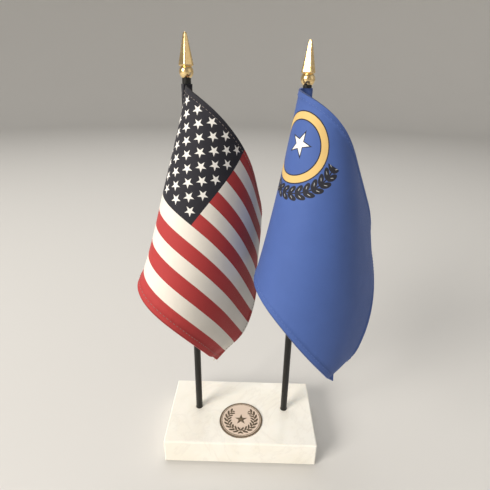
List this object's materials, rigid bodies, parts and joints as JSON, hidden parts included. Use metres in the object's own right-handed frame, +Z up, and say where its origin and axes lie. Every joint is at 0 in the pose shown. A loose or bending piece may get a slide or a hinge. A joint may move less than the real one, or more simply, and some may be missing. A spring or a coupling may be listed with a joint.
{
  "type": "desk flag stand",
  "caption": "Marble block base with a round medallion, two upright staffs with gilt spear finials, and a draped cloth flag on each staff.",
  "frame": {"origin": "centre of the base's underside, on the table", "axes": "+Z up, +X to the viewer's right along the base's width, -Y towards the viewer at the medallion's side"},
  "size_m": [0.1467, 0.0964, 0.2771],
  "materials": {
    "marble": "polished",
    "felt": "matt felt",
    "medallion_metal": "antiqued, struck",
    "adhesive": "foam tape",
    "black_staff": "satin black",
    "gilt": "polished gilt",
    "striped_cloth": "woven",
    "blue_cloth": "woven",
    "thread": "sewing thread"
  },
  "bodies": {
    "base": {"marble_base": "marble", "felt_pad": "felt", "medallion": "medallion_metal", "medallion_adhesive": "adhesive"},
    "left_staff": {"left_staff": "black_staff", "left_finial": "gilt"},
    "left_flag": {"left_flag": "striped_cloth", "left_flag_sleeve": "striped_cloth", "left_sleeve_seam": "thread"},
    "right_staff": {"right_staff": "black_staff", "right_finial": "gilt"},
    "right_flag": {"right_flag": "blue_cloth", "right_flag_sleeve": "blue_cloth", "right_sleeve_seam": "thread"}
  },
  "joints": [
    {"name": "left_staff_lift", "type": "slide", "parent": "base", "child": "left_staff", "axis": [0, 0, 1], "range_m": [0, 0.025]},
    {"name": "left_flag_turn", "type": "hinge", "parent": "left_staff", "child": "left_flag", "pos_m": [-0.03275, 0.0028, 0.2], "axis": [0, 0, 1], "range_deg": [-10, 12]},
    {"name": "right_staff_lift", "type": "slide", "parent": "base", "child": "right_staff", "axis": [0, 0, 1], "range_m": [0, 0.025]},
    {"name": "right_flag_turn", "type": "hinge", "parent": "right_staff", "child": "right_flag", "pos_m": [0.03275, 0.0028, 0.2], "axis": [0, 0, 1], "range_deg": [0, 90]}
  ]
}
